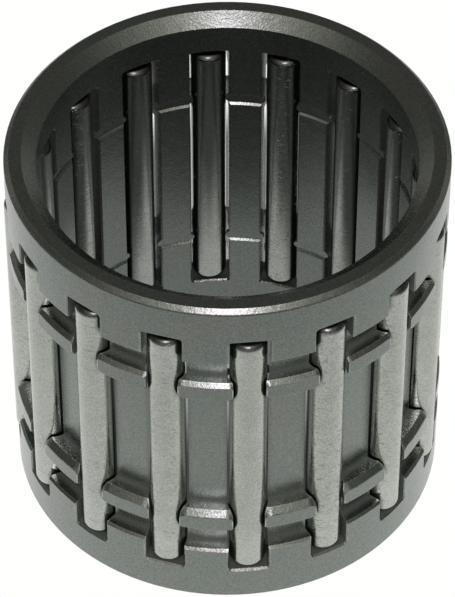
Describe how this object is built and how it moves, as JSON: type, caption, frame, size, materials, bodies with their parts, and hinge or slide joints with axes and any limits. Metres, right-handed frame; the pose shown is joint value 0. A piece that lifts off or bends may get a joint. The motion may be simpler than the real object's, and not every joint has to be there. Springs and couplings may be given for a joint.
{
  "type": "needle roller and cage assembly",
  "caption": "Radial needle roller bearing without rings: a one-piece machined steel cage with grooves and staked lips, and a loose needle roller in each pocket.",
  "frame": {"origin": "on the bearing's axis at mid-width", "axes": "+Z along the bearing's axis; the first needle roller lies on +X"},
  "size_m": [0.024, 0.024, 0.023],
  "materials": {
    "cage_steel": "satin grey-green steel, fine grain",
    "needle_steel": "polished, with fine scratches"
  },
  "bodies": {
    "cage": {"cage": "cage_steel"},
    "roller_01": {"needle_roller_01": "needle_steel"},
    "roller_02": {"needle_roller_02": "needle_steel"},
    "roller_03": {"needle_roller_03": "needle_steel"},
    "roller_04": {"needle_roller_04": "needle_steel"},
    "roller_05": {"needle_roller_05": "needle_steel"},
    "roller_06": {"needle_roller_06": "needle_steel"},
    "roller_07": {"needle_roller_07": "needle_steel"},
    "roller_08": {"needle_roller_08": "needle_steel"},
    "roller_09": {"needle_roller_09": "needle_steel"},
    "roller_10": {"needle_roller_10": "needle_steel"},
    "roller_11": {"needle_roller_11": "needle_steel"},
    "roller_12": {"needle_roller_12": "needle_steel"},
    "roller_13": {"needle_roller_13": "needle_steel"},
    "roller_14": {"needle_roller_14": "needle_steel"},
    "roller_15": {"needle_roller_15": "needle_steel"},
    "roller_16": {"needle_roller_16": "needle_steel"}
  },
  "joints": [
    {"name": "roller_01_spin", "type": "hinge", "parent": "cage", "child": "roller_01", "pos_m": [0.011, 0, 0], "axis": [0, 0, 1], "continuous": true},
    {"name": "roller_02_spin", "type": "hinge", "parent": "cage", "child": "roller_02", "pos_m": [0.01016, 0.00421, 0], "axis": [0, 0, 1], "continuous": true},
    {"name": "roller_03_spin", "type": "hinge", "parent": "cage", "child": "roller_03", "pos_m": [0.00778, 0.00778, 0], "axis": [0, 0, 1], "continuous": true},
    {"name": "roller_04_spin", "type": "hinge", "parent": "cage", "child": "roller_04", "pos_m": [0.00421, 0.01016, 0], "axis": [0, 0, 1], "continuous": true},
    {"name": "roller_05_spin", "type": "hinge", "parent": "cage", "child": "roller_05", "pos_m": [0, 0.011, 0], "axis": [0, 0, 1], "continuous": true},
    {"name": "roller_06_spin", "type": "hinge", "parent": "cage", "child": "roller_06", "pos_m": [-0.00421, 0.01016, 0], "axis": [0, 0, 1], "continuous": true},
    {"name": "roller_07_spin", "type": "hinge", "parent": "cage", "child": "roller_07", "pos_m": [-0.00778, 0.00778, 0], "axis": [0, 0, 1], "continuous": true},
    {"name": "roller_08_spin", "type": "hinge", "parent": "cage", "child": "roller_08", "pos_m": [-0.01016, 0.00421, 0], "axis": [0, 0, 1], "continuous": true},
    {"name": "roller_09_spin", "type": "hinge", "parent": "cage", "child": "roller_09", "pos_m": [-0.011, 0, 0], "axis": [0, 0, 1], "continuous": true},
    {"name": "roller_10_spin", "type": "hinge", "parent": "cage", "child": "roller_10", "pos_m": [-0.01016, -0.00421, 0], "axis": [0, 0, 1], "continuous": true},
    {"name": "roller_11_spin", "type": "hinge", "parent": "cage", "child": "roller_11", "pos_m": [-0.00778, -0.00778, 0], "axis": [0, 0, 1], "continuous": true},
    {"name": "roller_12_spin", "type": "hinge", "parent": "cage", "child": "roller_12", "pos_m": [-0.00421, -0.01016, 0], "axis": [0, 0, 1], "continuous": true},
    {"name": "roller_13_spin", "type": "hinge", "parent": "cage", "child": "roller_13", "pos_m": [0, -0.011, 0], "axis": [0, 0, 1], "continuous": true},
    {"name": "roller_14_spin", "type": "hinge", "parent": "cage", "child": "roller_14", "pos_m": [0.00421, -0.01016, 0], "axis": [0, 0, 1], "continuous": true},
    {"name": "roller_15_spin", "type": "hinge", "parent": "cage", "child": "roller_15", "pos_m": [0.00778, -0.00778, 0], "axis": [0, 0, 1], "continuous": true},
    {"name": "roller_16_spin", "type": "hinge", "parent": "cage", "child": "roller_16", "pos_m": [0.01016, -0.00421, 0], "axis": [0, 0, 1], "continuous": true}
  ]
}
